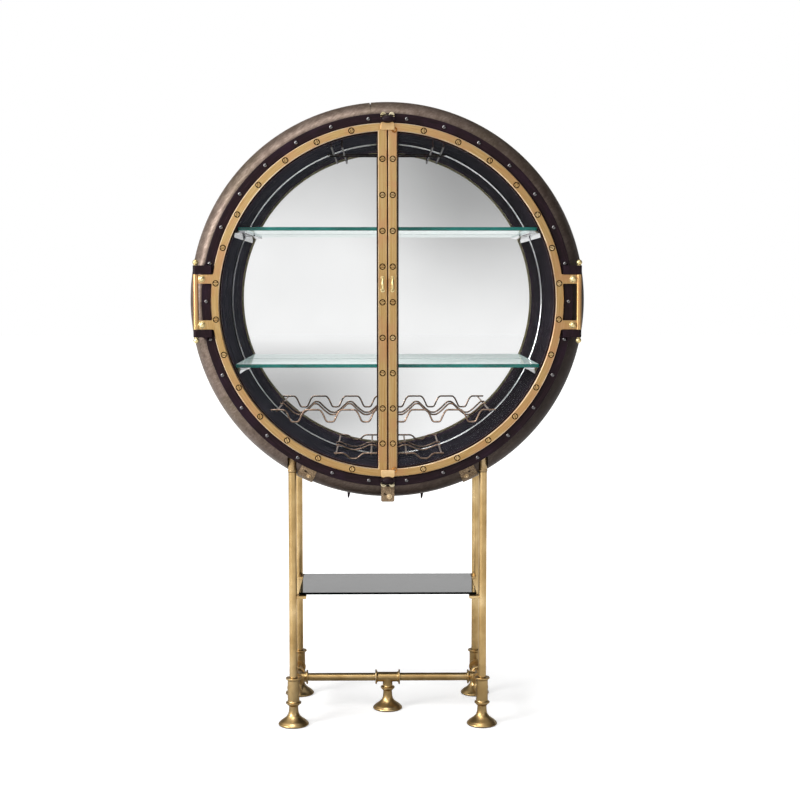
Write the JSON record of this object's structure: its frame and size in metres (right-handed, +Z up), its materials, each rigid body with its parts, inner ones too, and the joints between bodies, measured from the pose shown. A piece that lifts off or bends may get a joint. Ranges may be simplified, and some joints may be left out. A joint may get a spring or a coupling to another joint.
{
  "type": "wine cabinet",
  "caption": "Round drum bar cabinet in porthole style with half-round glazed brass doors, mirror back, glass shelves and wire bottle racks on a brass pipe stand.",
  "frame": {"origin": "on the floor, in the middle of the object's width and depth", "axes": "+Z up, -Y out of the front (the doors' side), +X to the right as seen from the front"},
  "size_m": [1.094, 0.4225, 1.741],
  "materials": {
    "hammered_bronze": "laminated timber drum clad in thin hammered metal: satin bronze-brown, with a mottled patina",
    "dark_iron": "satin plum-black enamel",
    "satin_brass": "satin brushed brass with lighter bevelled edges",
    "antique_brass": "rubbed antique brass, darker in the hollows",
    "bronze_casting": "rough dark bronze casting",
    "liner": "bent plywood in scuffed glossy blue-black lacquer",
    "mirror": "flat silvered mirror",
    "chrome": "polished chrome",
    "timber": "dark stained plywood",
    "clear_glass": "clear float glass with green edges",
    "smoked_glass": "smoked grey float glass with polished edges",
    "bronze_wire": "dark bronze-plated wire"
  },
  "bodies": {
    "root": {"outer_shell": "hammered_bronze", "front_ring": "dark_iron", "left_bottom_stud": "dark_iron", "right_bottom_stud": "dark_iron", "left_hinge_pin": "satin_brass", "right_hinge_pin": "satin_brass", "top_latch_base": "satin_brass", "bottom_latch_base": "satin_brass", "bottom_bracket": "bronze_casting", "left_bracket": "bronze_casting", "right_bracket": "bronze_casting", "inner_liner": "liner", "mirror": "mirror", "mirror_bead": "chrome", "upper_left_shelf_clip": "chrome", "upper_right_shelf_clip": "chrome", "lower_left_shelf_clip": "chrome", "lower_right_shelf_clip": "chrome", "back_panel": "timber", "rear_carcass_ring": "timber", "upper_glass_shelf": "clear_glass", "lower_glass_shelf": "clear_glass", "stand_shelf": "smoked_glass", "upper_bottle_rack": "bronze_wire", "lower_bottle_rack": "bronze_wire", "stemware_rack": "bronze_wire", "front_left_leg": "antique_brass", "front_left_leg_tee": "antique_brass", "front_left_foot": "antique_brass", "front_left_side_bar": "antique_brass", "front_right_leg": "antique_brass", "front_right_leg_tee": "antique_brass", "front_right_foot": "antique_brass", "front_right_side_bar": "antique_brass", "rear_left_leg": "antique_brass", "rear_left_leg_tee": "antique_brass", "rear_left_foot": "antique_brass", "rear_left_side_bar": "antique_brass", "rear_right_leg": "antique_brass", "rear_right_leg_tee": "antique_brass", "rear_right_foot": "antique_brass", "rear_right_side_bar": "antique_brass", "centre_tee": "antique_brass", "centre_foot": "antique_brass", "left_mid_tee": "antique_brass", "right_mid_tee": "antique_brass", "left_cross_bar": "antique_brass", "right_cross_bar": "antique_brass"},
    "left_door": {"left_door_frame": "satin_brass", "left_door_glass": "clear_glass", "left_glass_retainer": "satin_brass", "left_door_pull": "satin_brass"},
    "right_door": {"right_door_frame": "satin_brass", "right_door_glass": "clear_glass", "right_glass_retainer": "satin_brass", "right_door_pull": "satin_brass"},
    "top_latch": {"top_latch_barrel": "dark_iron", "top_latch_flap": "satin_brass"},
    "bottom_latch": {"bottom_latch_barrel": "dark_iron", "bottom_latch_flap": "satin_brass"}
  },
  "joints": [
    {"name": "left_door_hinge", "type": "hinge", "parent": "root", "child": "left_door", "pos_m": [-0.523, -0.1905, 1.194], "axis": [0, 0, -1], "range_deg": [0, 135]},
    {"name": "right_door_hinge", "type": "hinge", "parent": "root", "child": "right_door", "pos_m": [0.523, -0.1905, 1.194], "axis": [0, 0, 1], "range_deg": [0, 135]},
    {"name": "top_latch_hinge", "type": "hinge", "parent": "root", "child": "top_latch", "pos_m": [0, -0.2, 1.6855], "axis": [-1, 0, 0], "range_deg": [0, 110]},
    {"name": "bottom_latch_hinge", "type": "hinge", "parent": "root", "child": "bottom_latch", "pos_m": [0, -0.2, 0.7025], "axis": [1, 0, 0], "range_deg": [0, 110]}
  ]
}
